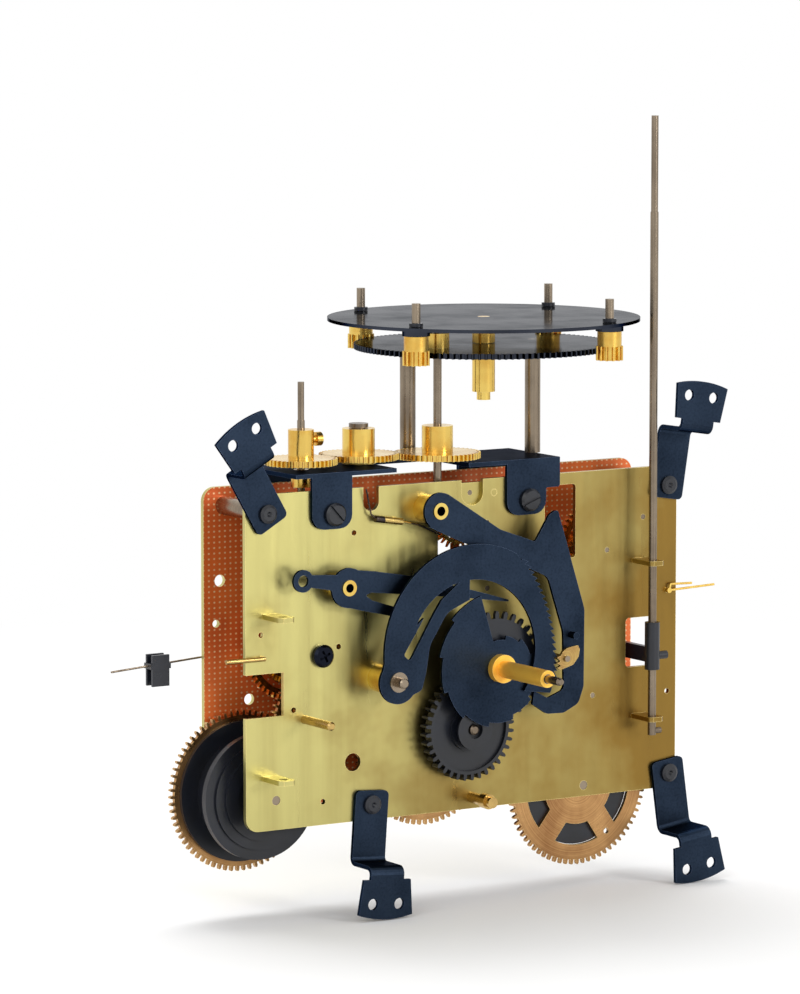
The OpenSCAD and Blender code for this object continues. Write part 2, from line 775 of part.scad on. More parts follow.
// Screws and posts that stand out of the front plate
module front_posts() placed() color(steel) {
    difference() {
        union() {
            bar(music_third_at, 3.3, -1.2, 0);
            cone(music_third_at, 2.6, 3.3, -1.9, -1.2);
        }
        slab(-3, -1.1) translate(music_third_at) for (a = [25, 115]) rotate(a) square([3.6, 0.7],
            center = true);
    }
    bar(post_at, 0.99, 0, plate_t);
    bar(post_at, 1.25, -14.4, 0);
    cone(post_at, 0.8, 1.25, -15, -14.4);
    bar(column_at, 1.19, 0, plate_t);
    bar(column_at, 1.6, -11.5, 0);
    bar(column_at, 2.2, -9.5, -6.5);
    wire([[stop_at[0] - 12, -1, stop_at[1]], [stop_at[0], -1, stop_at[1]], [stop_at[0], plate_t,
        stop_at[1]]], 0.69);
}

// Great wheel of the music train on its arbor
module music_great_wheel() placed() color(wheel_brass) {
    great_wheel(music_great_at, music_great_teeth, music_great_y, -60);
}

// A great wheel with its arbor, front face at depth y, one of its five arms in direction turn
module great_wheel(p, teeth, y, turn) {
    slab(y, y + wheel_t) translate(p) difference() {
        wheel_outline(teeth, great_module, 0);
        circle(great_arbor_r - step);
        crossings(5, 11.9, drum_r - 0.4, 7.1, turn);
        rotate(turn) translate([drum_r - 0.4, 0]) circle(0.9);
    }
    bar(p, great_arbor_r, plate_t + shake, back - shake);
    bar(p, great_pivot_r, end_gap, rear - end_gap);
}
great_arbor_r = 2;

// Chain drum of the music train: a stepped black drum with a sprocket groove, a steel cone and a
// brass collar in front of it
module music_drum() placed() color(black) {
    front = plate_t + 0.6;
    end = music_great_y;
    p = music_great_at;
    difference() {
        union() {
            bar(p, drum_r + 1.8, end - 1.2, end);
            bar(p, drum_r - 3.5, end - 4.4, end - 1.2);
            chain_sprocket(p, end - 9.4, end - 4.4);
            bar(p, drum_r - 0.2, end - 11.4, end - 9.4);
            bar(p, drum_r - 3.2, end - 12.2, end - 11.4);
            bar(p, drum_r - 6, end - 13, end - 12.2);
        }
        bar(p, 8.3, end - 14, end - 11);
        bar(p, great_arbor_r + seat, 0, back);
    }
    // collar in the drum's recess
    difference() {
        union() {
            cone(p, 3.2, 5.2, front + 1.6, end - 10.8);
            bar(p, 4.2, front, front + 1.6);
        }
        bar(p, great_arbor_r + seat, 0, back);
    }
}

// The waist of a chain drum with pockets for the links
module chain_sprocket(p, y0, y1) {
    slab(y0, y1) translate(p) difference() {
        circle(drum_r - 6.3);
        for (i = [0 : sprocket_pockets - 1]) rotate(i * 360 / sprocket_pockets)
            translate([drum_r - 6.1, 0]) circle(1.5);
    }
}
sprocket_pockets = 14;

module music_second_wheel() placed() color(wheel_brass) {
    p = music_second_at;
    way = bearing(music_great_at, p);
    train_wheel(p, music_second_teeth, fine_module, 0, music_second_y, arbor_r - step, 4, 2, 4);
    train_arbor(p, arbor_r, pivot_r);
    leaves(p, great_pinion, great_module, into(way, 0, music_great_teeth, great_pinion),
        music_great_y - 1, music_great_y + wheel_t + 0.8);
    bar(p, 2.2, music_second_y + wheel_t, music_second_y + wheel_t + 2);
}

// Music third wheel with the crown wheel that drives the upright mill arbor
module music_contrate_wheel() placed() color(gold) {
    p = music_third_at;
    train_wheel(p, music_third_teeth, fine_module, 0, music_third_y, arbor_r - step, 10.4, 1.6, 4);
    train_arbor(p, arbor_r, pivot_r);
    leaves(p, coarse_pinion, fine_module, into(90, 0, music_second_teeth, coarse_pinion),
        music_second_y - 0.6, music_second_y + wheel_t + 0.6);
    slab(music_third_y - crown_web, music_third_y) translate(p) difference() {
        circle(crown_r + crown_face / 2);
        circle(arbor_r - step);
    }
    for (i = [0 : crown_teeth - 1]) translate([p[0], 0, p[1]]) rotate([0, -i * 360 / crown_teeth,
        0]) crown_tooth();
}
crown_face = 1.4;

// One tooth of the crown wheel, standing forward from its web along the wheel's radius
module crown_tooth() {
    root = music_third_y - crown_web;
    tip = crown_y - 0.9 * crown_module;
    pitch = crown_module * 180 * PI / 180;
    translate([crown_r - crown_face / 2, 0, 0]) rotate([90, 0, 90]) linear_extrude(crown_face)
        polygon([[root + 0.3, -pitch * 0.24], [root + 0.3, pitch * 0.24], [crown_y, pitch * 0.2],
            [tip, pitch * 0.1], [tip, -pitch * 0.1], [crown_y, -pitch * 0.2]]);
}

module music_fly() placed() color(steel) {
    fly(music_fly_at, into(55, 0, music_third_teeth, pinion), music_third_y, 6, plate_t + 2,
        music_third_y - 3);
}

// An air brake: arbor, pinion at depth y and two vanes of reach r from depth y0 to y1
module fly(p, turn, y, r, y0, y1) {
    train_arbor(p, arbor_r, pivot_r);
    leaves(p, pinion, fine_module, turn, y - 0.6, y + wheel_t + 0.6);
    slab(y0, y1) translate(p) difference() {
        union() {
            rotate(30) square([2 * r, 0.5], center = true);
            circle(1.5);
        }
        circle(arbor_r - step);
    }
}

module time_great_wheel() placed() color(wheel_brass) {
    great_wheel(time_great_at, great_teeth, time_great_y, -30);
}

// Chain drum of the going train, behind its wheel
module time_drum() placed() color(black) {
    p = time_great_at;
    front = time_great_y + wheel_t;
    difference() {
        union() {
            bar(p, drum_r, front, front + 1.8);
            chain_sprocket(p, front + 1.8, front + 6.8);
            bar(p, drum_r - 3.5, front + 6.8, back - 1.2);
            bar(p, 3.4, back - 1.2, back - 0.4);
        }
        bar(p, great_arbor_r + seat, 0, back);
    }
}

// The hand arbor with the going train's pinion and the cannon pinion
module centre_arbor() placed() color(steel) {
    tip = -foot_out - hour_tube_out - minute_out;
    bar(hand, minute_arbor_r, tip + minute_out, rear - end_gap);
    bar(hand, minute_seat_r, tip + 1, tip + minute_out);
    cone(hand, minute_seat_r - 0.4, minute_seat_r, tip, tip + 1);
    bar(hand, centre_arbor_r, plate_t + shake, back - shake);
    leaves(hand, great_pinion, great_module, into(time_way + 180, 0, great_teeth, great_pinion),
        time_great_y - 0.8, time_great_y + wheel_t + 0.8);
    slab(minute_y, minute_y + minute_wheel_t) translate(hand) wheel_outline(cannon_teeth, motion_module, 0);
    bar(hand, 3, minute_y + minute_wheel_t, -0.3);
}

centre_arbor_r = 2.1;
minute_seat_r = minute_arbor_r - thinner;

module centre_wheel() placed() color(wheel_brass) {
    train_wheel(hand, centre_teeth, great_module, 0, centre_y, centre_arbor_r + seat, 4.5, 2.2, 4);
    difference() {
        bar(hand, 3.2, centre_y + wheel_t, centre_y + wheel_t + 1.5);
        bar(hand, centre_arbor_r + seat, centre_y, centre_y + wheel_t + 2);
    }
}

module third_wheel() placed() color(wheel_brass) {
    train_wheel(third_at, third_teeth, escape_module, 0, third_y, arbor_r - step, 3.4, 2, 4);
    train_arbor(third_at, arbor_r, pivot_r);
    leaves(third_at, pinion, great_module, into(third_way, 0, centre_teeth, pinion), centre_y - 0.6,
        centre_y + wheel_t + 0.6);
}

// Escape wheel: slanting teeth on a thin rim
module escape_wheel() placed() color(gold) {
    pitch = 360 / escape_teeth;
    train_arbor(escape_at, arbor_r, pivot_r);
    leaves(escape_at, pinion, escape_module, into(escape_way, 0, third_teeth, pinion), third_y - 0.6,
        third_y + wheel_t + 0.6);
    slab(escape_y, escape_y + wheel_t) translate(escape_at) difference() {
        polygon([for (i = [0 : escape_teeth - 1]) for (c = [[escape_r, 0], [escape_r - 1.7, 0.18],
            [escape_r - 1.7, 0.85]])
            c[0] * [cos((i + c[1]) * pitch), sin((i + c[1]) * pitch)]]);
        circle(arbor_r - step);
        crossings(4, 2.4, escape_r - 2.8, 1.2, 0);
    }
}

// Anchor with two pallets over the escape wheel, and the crutch for the pendulum behind the plate
module anchor() placed() color(steel) {
    bar(anchor_at, arbor_r, plate_t + sheet_t + shake, back - shake);
    bar(anchor_at, pivot_r, plate_t, rear + 3);
    slab(escape_y, escape_y + wheel_t) anchor_outline();
    // crutch: a wire down from the arbor to a loop round the pendulum's leader
    foot_z = anchor_at[1] - 46;
    slab(rear + 1, rear + 2.2) polygon(rounded([[anchor_at[0] - 1.6, anchor_at[1] + 1.6, 1],
        [anchor_at[0] + 1.6, anchor_at[1] + 1.6, 1],
        [anchor_at[0] + 1, foot_z, 0.4], [anchor_at[0] - 1, foot_z, 0.4]]));
    link([anchor_at[0], rear + 1.6, foot_z + 0.6], [anchor_at[0], rear + 9, foot_z + 0.6], 0.6);
    for (s = [-1, 1]) link([anchor_at[0] + s * 2, rear + 9, foot_z + 0.6], [anchor_at[0] + s * 2,
        rear + 14, foot_z + 0.6], 0.6);
    link([anchor_at[0] - 2, rear + 9, foot_z + 0.6], [anchor_at[0] + 2, rear + 9, foot_z + 0.6], 0.6);
}

// The anchor's two arms end just outside the escape wheel's tips
module anchor_outline() {
    near = escape_r + 0.5;
    difference() {
        union() {
            dot(anchor_at, norm(anchor_at - escape_at) - escape_r - 0.25);
            intersection() {
                translate(escape_at) difference() {
                    circle(near + 2.2);
                    circle(near);
                }
                translate(escape_at) polygon([[0, 0], 20 * [cos(40), sin(40)], 20 * [cos(99),
                    sin(99)] * 1.4, 20 * [cos(158), sin(158)]]);
            }
        }
        dot(anchor_at, pivot_r);
    }
}

// Minute wheel with the small pinion that drives the hour wheel
module minute_wheel() placed() color(black) {
    p = minute_at;
    difference() {
        union() {
            slab(minute_y, minute_y + minute_wheel_t) translate(p) wheel_outline(minute_teeth,
                motion_module, minute_turn);
            slab(minute_y - 2.2, minute_y + step) translate(p)
                pinion_outline(minute_pinion, hour_module, into(minute_way, hour_turn, hour_teeth,
                    minute_pinion));
            bar(p, 5.85, minute_y - 2.8, minute_y - 2.2);
        }
        bar(p, minute_stud_r + clear, -20, 0);
        bar(p, 2.5, minute_y - 3, minute_y - 1.6);
        // a dish in the front and in the back
        for (y = [minute_y - 1, minute_y + minute_wheel_t - 1]) difference() {
            bar(p, 12.4, y, y + 2);
            bar(p, 6.4, y - 1, y + 3);
        }
    }
}

module hour_wheel() placed() color(black) {
    slab(hour_y, hour_y + hour_wheel_t) translate(hand) difference() {
        wheel_outline(hour_teeth, hour_module, hour_turn + 180);
        circle(hour_seat_r + step);
    }
}

// The snail: twelve steps, one for each hour
module snail() placed() color(black) {
    slab(snail_y, snail_y + snail_t) translate(hand) difference() {
        polygon([for (i = [0 : 11]) for (k = [0 : 6])
            (snail_low + (snail_high - snail_low) * i / 11) * [cos(snail_step - 30 * i - 5 * k),
                sin(snail_step - 30 * i - 5 * k)]]);
        circle(hour_seat_r + step);
    }
    difference() {
        bar(hand, 7, snail_y + snail_t, hour_y);
        bar(hand, hour_seat_r + step, snail_y, hour_y + 1);
    }
}
snail_step = 107;
hour_seat_r = hour_tube_r - 0.1;
hour_wheel_t = 1.2;

// Brass tube of the hour hand with a collar in front of the snail
module hour_tube() placed() color(gold) {
    front = -foot_out - hour_tube_out;
    difference() {
        union() {
            bar(hand, hour_tube_r, front, snail_y - 2.3);
            bar(hand, hour_seat_r, front, hour_y + hour_wheel_t + 0.2);
            bar(hand, 4.1, snail_y - 2.3, snail_y);
        }
        bar(hand, minute_arbor_r + clear, front - 1, 0);
    }
}

module strike_great_wheel() placed() color(wheel_brass) {
    great_wheel(strike_great_at, great_teeth, strike_great_y, -56);
}

// Chain drum of the strike train, behind its wheel
module strike_drum() placed() color(black) {
    p = strike_great_at;
    front = strike_great_y + wheel_t;
    difference() {
        union() {
            bar(p, drum_r - 0.5, front, front + 2.4);
            chain_sprocket(p, front + 2.4, front + 7.4);
            bar(p, drum_r - 3.5, front + 7.4, front + 9.4);
            bar(p, 4, front + 9.4, back - 0.6);
        }
        bar(p, great_arbor_r + seat, 0, back);
    }
}

module strike_second_wheel() placed() color(wheel_brass) {
    p = strike_second_at;
    train_wheel(p, strike_second_teeth, great_module, 0, strike_second_y, arbor_r - step, 4, 2.2, 4);
    train_arbor(p, arbor_r, pivot_r);
    leaves(p, great_pinion, great_module, into(bearing(strike_great_at, p), 0, great_teeth, great_pinion),
        strike_great_y - 0.8, strike_great_y + wheel_t + 0.8);
}

// Arbor of the gathering pallet: it comes through the front plate and turns once for each tooth
module pallet_arbor() placed() color(steel) {
    p = pallet_at;
    train_wheel(p, pallet_teeth, fine_module, 0, pallet_y, arbor_r - step, 4, 2, 4);
    bar(p, arbor_r, pallet_leaf_y - 0.8, back - shake);
    // thin where the centre wheel turns beside it
    bar(p, arbor_r + 0.4, plate_t + shake, centre_y - 0.6);
    bar(p, arbor_r + 0.4, centre_y + wheel_t + 0.6, back - shake);
    bar(p, arbor_r, back - 1, rear - end_gap);
    leaves(p, pinion, great_module, into(bearing(strike_second_at, p), 0, strike_second_teeth, pinion),
        strike_second_y - 0.6, strike_second_y + wheel_t + 0.6);
}

// Brass leaf that gathers the rack's teeth
module gathering_pallet() placed() color(gold) {
    slab(pallet_leaf_y, pallet_leaf_y + 1) translate(pallet_at) difference() {
        polygon(rounded([[4.1, 3.6, 0.4], [4.7, 2.4, 0.4], [4.3, 0.2, 1], [2.4, -2, 1], [-2.1, -3.2,
            0.3], [-3.1, -2.5, 0],
            [-1.7, -2, 0.2], [-3.2, -1.1, 0], [-1.9, -0.7, 0.2], [-3.2, 0.5, 0], [-1.7, 1.1, 0.2], [-1.1,
                2.2, 0.6],
            [0.65, 3.1, 0.6]]));
        circle(arbor_r + seat);
    }
}

module strike_fourth_wheel() placed() color(wheel_brass) {
    train_wheel(fourth_at, fourth_teeth, fine_module, 0, fourth_y, arbor_r - step, 4, 2, 4);
    train_arbor(fourth_at, arbor_r, pivot_r);
    leaves(fourth_at, pinion, fine_module, into(bearing(pallet_at, fourth_at), 0, pallet_teeth, pinion),
        pallet_y - 0.6, pallet_y + wheel_t + 0.6);
}

module warning_wheel() placed() color(gold) {
    train_wheel(warning_at, warning_teeth, fine_module, 0, warning_y, arbor_r - step, 3.4, 1.8, 4);
    train_arbor(warning_at, arbor_r, pivot_r);
    leaves(warning_at, coarse_pinion, fine_module, into(bearing(fourth_at, warning_at), 0, fourth_teeth,
        coarse_pinion),
        fourth_y - 0.6, fourth_y + wheel_t + 0.6);
}

module strike_fly() placed() color(steel) {
    fly(strike_fly_at, into(bearing(warning_at, strike_fly_at), 0, warning_teeth, pinion), warning_y, 6.5,
        warning_y + 4, back - 2.5);
}

// The rack: a toothed ring segment with a slot and a curved tail, hanging on its stud
module rack() placed() color(blued) {
    c = rack_at;
    tooth_low = rack_r - 1.3;
    slab(rack_y, rack_y + lever_t) translate(c) difference() {
        union() {
            difference() {
                union() {
                    intersection() {
                        translate([25.5, 7.7]) circle(30.2);
                        circle(tooth_low - 0.3);
                        polygon([[-12, 0], [-12, 60], [80, 60], [80, 80 * tan(-8)], [0, 0]]);
                    }
                    polygon([for (i = [rack_teeth : -1 : 0], r = i > 0 ? [tooth_low, rack_r] : [tooth_low])
                        let (turn = rack_top_turn - rack_pitch * i) r * [cos(turn), sin(turn)]]);
                }
                translate([25.1, 6.2]) circle(21.5);
            }
            circle(6.3);
            polygon(rounded([[-1, -6.2, 0], [7.8, -2.9, 2], [9.2, 2.1, 3], [10.5, 9.8, 6], [16.3, 18.8,
                6], [24, 22, 0],
                [24, 30, 0], [-4, 8, 0], [-6.2, 0, 0]]));
        }
        circle(rack_stud_r + clear);
        polygon(rounded([[1.7, 7.6, 0.8], [9.8, 19.8, 2], [12.9, 23, 0.8], [14.5, 22.5, 0.6], [11.9,
            18.8, 3], [3.8, 5.7, 0.8]]));
    }
    // feeler for the snail
    bar(c + [24.6, 28.4], 0.9, rack_y + lever_t - step, snail_y - 0.2);
}

// Rack hook: it drops between the rack's teeth and carries the locking pin
module rack_hook() placed() color(blued) {
    c = hook_at;
    slab(hook_y, hook_y + lever_t) translate(c) difference() {
        union() {
            circle(5.3);
            polygon(rounded([[2.6, 4.7, 0], [20.4, -6.6, 8], [32.5, -11, 1], [37.4, -3.4, 1], [40.2,
                -1.9, 1], [43.3, -11.7, 2],
                [49.7, -31.8, 6], [49.5, -54.5, 2.5], [47.7, -59.4, 3], [42.5, -61.8, 3], [36.6, -61.6, 3],
                [31.7, -58.4, 0.4], [32.3, -54.6, 0.4], [37, -57, 0.6], [42.6, -55, 2], [42.4, -38.1, 8],
                    [37, -21.5, 4], [20, -14, 8], [7.7, -9.5, 4], [-3.6, -4.4, 0]]));
        }
        circle(hook_stud_r + clear);
    }
    bar([104.75, 49.7], 1, hook_y - 3, hook_y + step);
}

// Lifting lever with a ring at its tail and a second prong below its arm
module lifting_lever() placed() color(blued) {
    y0 = lever_y;
    y1 = lever_y + lever_t;
    tail = [-15.1, 3];
    translate([lever_at[0], 0, lever_at[1]]) difference() {
        union() {
            bar([0, 0], 5.7, y0, y1);
            bar(tail, 3.2, y0, y1);
            slab(y0, y1) polygon([[-13.5, 4.6], [-4, 4], [-4, -0.6], [-13.5, 1.2]]);
            slab(y0, y1) polygon(rounded([[-1.5, 5.45, 0], [8.8, 4.1, 10], [22.6, 1.7, 20], [42.4, -3.8, 4],
                [57.9, -8.4, 0.3], [39, -5.6, 10], [7.5, -1.8, 1], [5.2, -2.4, 0.4], [7.6, -4.1, 0.6],
                    [16, -6.7, 0.6],
                [18.2, -6.9, 0.6], [16.2, -9.6, 0.6], [-1.2, -5.4, 0]]));
        }
        bar([0, 0], lever_stud_r + clear, y0 - 1, y1 + 1);
        bar(tail, 1.7, y0 - 1, y1 + 1);
    }
}

// Upright arbor that takes the music train's motion up to the bridge
module mill_arbor() placed() color(steel) {
    x = gear_1_at;
    low = music_third_at[1] + crown_r - 1.2;
    upright(x, mill_arbor_r, low, bridge_top + 14);
    upright(x, mill_arbor_r - thinner, bridge_top + 14, bridge_top + 25);
    upright(x, 1.9, shelf_z + sheet_t + 0.1, shelf_z + sheet_t + 1.5);
    translate([x[0], x[1], low + 0.4]) linear_extrude(1.6) pinion_outline(crown_pinion, crown_module,
        90 + 180 / crown_pinion);
}

// Gear on the mill arbor with a set screw in its hub
module mill_gear() placed() color(gold) {
    difference() {
        union() {
            flat_gear(gear_1_at, gear_1_teeth, 0);
            upright(gear_1_at, 3.7, gear_z, mill_hub_top);
            translate([gear_1_at[0], gear_1_at[1], mill_hub_top - 3]) rotate([0, 90,
                0]) cylinder(r = 1.1, h = 6.2);
        }
        upright(gear_1_at, mill_arbor_r + seat, bridge_z, mill_hub_top + 1);
    }
    translate([gear_1_at[0] + 4.6, gear_1_at[1], mill_hub_top - 3]) rotate([0, 90, 0]) cylinder(r = 2,
        h = 1.8);
}

// One of the three flat gears over the bridge
module flat_gear(v, teeth, turn) {
    translate([v[0], v[1], gear_z]) linear_extrude(gear_t) wheel_outline(teeth, gear_module, turn);
}
idler_turn = into(gear_1_way + 180, 0, gear_1_teeth, gear_2_teeth);

module idler_gear() placed() color(gold) {
    difference() {
        union() {
            flat_gear(gear_2_at, gear_2_teeth, idler_turn);
            upright(gear_2_at, 4.7, bridge_top + 0.2, idler_top);
        }
        upright(gear_2_at, idler_stud_r + clear, bridge_z, idler_top + 1);
    }
}

// Arbor that takes the motion up through the fixed disc to the carousel
module lift_arbor() placed() color(steel) {
    upright(lift_at, lift_arbor_r, cock_z + sheet_t + 0.1, lift_bush_top + 2.1);
    upright(lift_at, pivot_r, cock_z + 0.1, lift_bush_top);
    translate([lift_at[0], lift_at[1], lift_bush_top + 0.1]) linear_extrude(2)
        pinion_outline(lift_pinion, fine_module, into(lift_way, 0, drive_teeth, lift_pinion));
}

module lift_gear() placed() color(gold) {
    difference() {
        union() {
            flat_gear(lift_at, gear_3_teeth, into(gear_2_way + 180, idler_turn, gear_2_teeth, gear_3_teeth));
            upright(lift_at, 4.5, gear_z, gear_z + 9.4);
        }
        upright(lift_at, lift_arbor_r + seat, gear_z - 1, gear_z + 10);
    }
}

// The dancers' disc with a black bush under each dancer's hole
module dancers_disc() placed() color(slate) {
    difference() {
        union() {
            upright(carousel_at, disc_r, disc_z, disc_z + disc_t);
            for (k = [0 : 3]) upright(dancer_spot(k), 4, disc_z - 1.5, disc_z);
        }
        for (k = [0 : 3]) upright(dancer_spot(k), dancer_r + clear, disc_z - 2, disc_z + disc_t + 1);
        upright(carousel_at, 1.8, disc_z - 1, disc_z + disc_t + 1);
    }
}
function dancer_spot(k) = polar(carousel_at, planet_r, first_dancer + 90 * k);

// Drive wheel and shaft of the carousel, under the dancers' disc
module carousel_hub() placed() color(gold) {
    drive_t = 1.6;
    translate([carousel_at[0], carousel_at[1],
        disc_z - drive_t - 0.2]) linear_extrude(drive_t) wheel_outline(drive_teeth, fine_module, 0);
    upright(carousel_at, 6, disc_z - 2.6, disc_z);
    upright(carousel_at, sleeve_r, sun_z + sun_t + 0.1, disc_z - drive_t - 0.2 + step);
    upright(carousel_at, shaft_r, sun_z - sleeve_drop - 2.4, disc_z);
    upright(carousel_at, 1.79, disc_z - step, disc_z + disc_t);
}

// A dancer's spindle with its hub and the pinion that rolls round the fixed disc
module dancer(k) placed() color(gold) {
    v = dancer_spot(k);
    upright(v, dancer_r, disc_z - 4, disc_z + 7.7);
    upright(v, 3.5, sun_z + 2.3, disc_z - 1.6);
    upright(v, 2, disc_z + disc_t + 0.1, disc_z + disc_t + 1.1);
    translate([v[0], v[1], sun_z - 1.7]) linear_extrude(4.1)
        pinion_outline(planet_teeth, fine_module, into(first_dancer + 90 * k, 0, sun_teeth, planet_teeth));
}

// Upright rod that carries the bird, with a bent end below the lower lug
module bird_rod() placed() color(steel) {
    low = right_lugs[1] - 4.9;
    upright(bird_at, bird_rod_r, low, bird_rod_top - 28);
    upright(bird_at, bird_rod_r - thinner, bird_rod_top - 28, bird_rod_top);
    link([bird_at[0], bird_at[1], low + 1.2], [bird_at[0] + 3, bird_at[1], low + 1.2], 0.9);
}

// Black crank on the bird's rod, with its arm through the plate's window
module bird_crank() placed() color(black) {
    z0 = crank_window[2];
    difference() {
        union() {
            upright(bird_at, 2.2, z0, z0 + 14);
            translate([bird_at[0] - 0.9, bird_at[1], z0 + 2]) cube([1.8, 15, 4.5]);
            translate([bird_at[0], bird_at[1], z0 + 4]) rotate([0, 90, 0]) cylinder(r = 1.2, h = 5);
        }
        upright(bird_at, bird_rod_r + seat, z0 - 1, z0 + 15);
    }
}

// Wire behind the back plate that pulls the gong hammer, with a spring clip near its end
module hammer_wire() placed() color(steel) {
    y = rear + 1.2;
    bar(hammer_at, hammer_r, back - 0.8, rear + 2.2);
    bar(hammer_at, 1.8, back - 1, back - 0.2);
    bar(hammer_at, 2.2, rear + 0.2, rear + 2.2);
    wire([[hammer_at[0], y, hammer_at[1]], [-28.7, y, 45]], 0.3);
    for (s = [-1, 1]) translate([-16.5, y + s * 1.6 - 0.4, 40]) cube([5.5, 0.8, 9]);
    translate([-17, y - 2, 45]) cube([6.5, 4, 1.6]);
}

// Wire of the bellows on the other side, with a hairpin at its inner end
module bellows_wire() placed() color(gold) {
    bar(bellows_at, bellows_r, -1.4, rear - end_gap);
    bar(bellows_at, 1.5, plate_t + shake, plate_t + shake + 1.2);
    wire([[bellows_at[0], -1, bellows_at[1]], [160.6, -1, bellows_at[1] + 0.6]], 0.35);
    wire([[bellows_at[0], -1, bellows_at[1]], [bellows_at[0] + 0.6, -1, bellows_at[1] + 1.8],
        [bellows_at[0] + 8, -1, bellows_at[1] + 1.6]], 0.35);
}
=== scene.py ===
"""Looks of the clock movement: camera, studio, brass, steel, blued and moulded finishes."""
import json
from math import radians

import bpy
import numpy as np
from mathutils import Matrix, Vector


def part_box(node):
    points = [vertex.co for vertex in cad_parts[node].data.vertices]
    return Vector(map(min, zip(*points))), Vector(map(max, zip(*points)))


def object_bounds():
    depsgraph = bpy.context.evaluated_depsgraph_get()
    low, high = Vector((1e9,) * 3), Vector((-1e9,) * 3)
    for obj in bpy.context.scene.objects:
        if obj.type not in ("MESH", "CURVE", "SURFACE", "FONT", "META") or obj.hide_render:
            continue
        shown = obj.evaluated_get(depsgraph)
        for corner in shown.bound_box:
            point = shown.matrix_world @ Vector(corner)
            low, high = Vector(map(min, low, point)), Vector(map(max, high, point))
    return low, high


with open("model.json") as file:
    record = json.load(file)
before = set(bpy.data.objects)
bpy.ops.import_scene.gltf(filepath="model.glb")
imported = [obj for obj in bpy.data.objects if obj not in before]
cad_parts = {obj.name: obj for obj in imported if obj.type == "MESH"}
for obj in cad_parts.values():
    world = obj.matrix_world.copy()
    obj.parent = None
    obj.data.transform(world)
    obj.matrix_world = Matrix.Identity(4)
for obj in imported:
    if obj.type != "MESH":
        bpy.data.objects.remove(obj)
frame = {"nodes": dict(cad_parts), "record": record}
cad_low, cad_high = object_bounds()
nodes = frame["nodes"]
record = frame["record"]
MM = 0.001


# The joint that carries a node gives the axis of its turning marks

def axis_of(node):
    """Centre and direction of the joint that turns a node, in metres."""
    behaviour = record["behaviour"]
    body = next(name for name, members in behaviour["bodies"].items() if node in members)
    joint = next(one for one in behaviour["joints"] if one["child"] == body)
    return joint["pos_m"], "Z" if abs(joint["axis"][2]) > 0.5 else "Y"


# Colours

def linear(r, g, b):
    """A colour given as 0 to 255 display values, turned into the linear values of the shader."""
    shown = np.array([r, g, b]) / 255.0
    return tuple(np.where(shown <= 0.04045, shown / 12.92, ((shown + 0.055) / 1.055) ** 2.4)) + (1.0,)


# The plates' first two colours are a painted reflection, lit at the left and shaded to the right
PLATE_PAINTED_LIT = linear(196, 187, 120)
PLATE_PAINTED_SHADE = linear(138, 109, 52)
# Darker colour for real stains and for painted reflection streaks
PLATE_STAIN_AND_STREAK_SHADE = linear(122, 96, 48)
# The inner face's first two colours are painted warm light between the plates; the third is its grid of
# dots
INNER_PAINTED_LIGHT = linear(250, 126, 58)
INNER_PAINTED_LIGHT_DEEP = linear(214, 92, 44)
INNER_DOT = linear(255, 222, 170)
WHEEL_BRASS = linear(196, 152, 100)
WHEEL_TARNISH = linear(140, 98, 62)
GOLD = linear(236, 206, 112)
GOLD_DEEP = linear(208, 156, 64)
TUBE_GOLD = linear(255, 206, 84)
TUBE_DEEP = linear(238, 170, 62)
STEEL = linear(146, 132, 114)
STEEL_DEEP = linear(86, 74, 64)
PIN_BRONZE = linear(196, 164, 100)
BLUED = linear(42, 53, 69)
BLUED_DEEP = linear(22, 30, 41)
SLATE = linear(60, 64, 74)
SLATE_DEEP = linear(42, 44, 52)
# Black of moulded plastic, also used as painted shade inside the hollow studs' bores
MOULDED_AND_BORE_SHADE = linear(26, 29, 38)
MOULDED_DEEP = linear(13, 15, 20)
MOTION_BLACK = linear(22, 26, 36)
MOTION_DEEP = linear(11, 13, 19)
PALLET_BRASS = linear(196, 168, 100)
# Painted highlights on the edges of brass and of blued steel
PAINTED_EDGE_HIGHLIGHT = linear(255, 234, 160)
BLUED_PAINTED_EDGE_HIGHLIGHT = linear(96, 110, 136)
FLAT_ANGLE_TINT = linear(110, 118, 134)
SLATE_TINT = linear(76, 82, 94)
BRONZE_DEEP = linear(150, 122, 76)


# Lengths in the finishes

# The plates' painted reflection runs from lit and pale at the left to shaded and warm at the right,
# between this far left and right of the hand shaft
PAINTED_LIGHT_REACH = 60 * MM
# Distances between the dots on the back plate's inner face
DOT_PITCH_X = 1.78 * MM
DOT_PITCH_Z = 1.57 * MM
# Width of the painted highlight on the plates' edges and on the edges of smaller pieces
PLATE_EDGE = 0.2 * MM
FINE_EDGE = 0.12 * MM
# A change from one colour to the next along a shaft takes this length
SHARP = 0.05 * MM
# Radius of the music train's dark cap screw
CAP_R = 3.5 * MM
# Place of the spring's slit pin along the spring, and half the pin's length
SPRING_PIN_SHARE = 0.42
SPRING_PIN_HALF = 4.5 * MM
# Bore radii of the hollow, riveted studs, whose insides are painted dark as shade
HOOK_STUD_BORE = 1.35 * MM
LEVER_STUD_BORE = 1.25 * MM
# The rack's stud is steel from this far in front of the rack
STUD_STEEL_FROM = 0.2 * MM
# Height of the dancers' black collars
COLLAR_HEIGHT = 1.15 * MM
# The hammer wire's clip: the distance of its middle from the wire's free end, and half its length
CLIP_FROM_END = 15.25 * MM
CLIP_HALF = 3.4 * MM

# Distances in the studio: the floor under the object, its reach, and where it turns white
FLOOR_DROP = 0.2 * MM
FLOOR_REACH = 30
WHITE_FROM = 0.22
WHITE_FULL = 0.6


# Material building

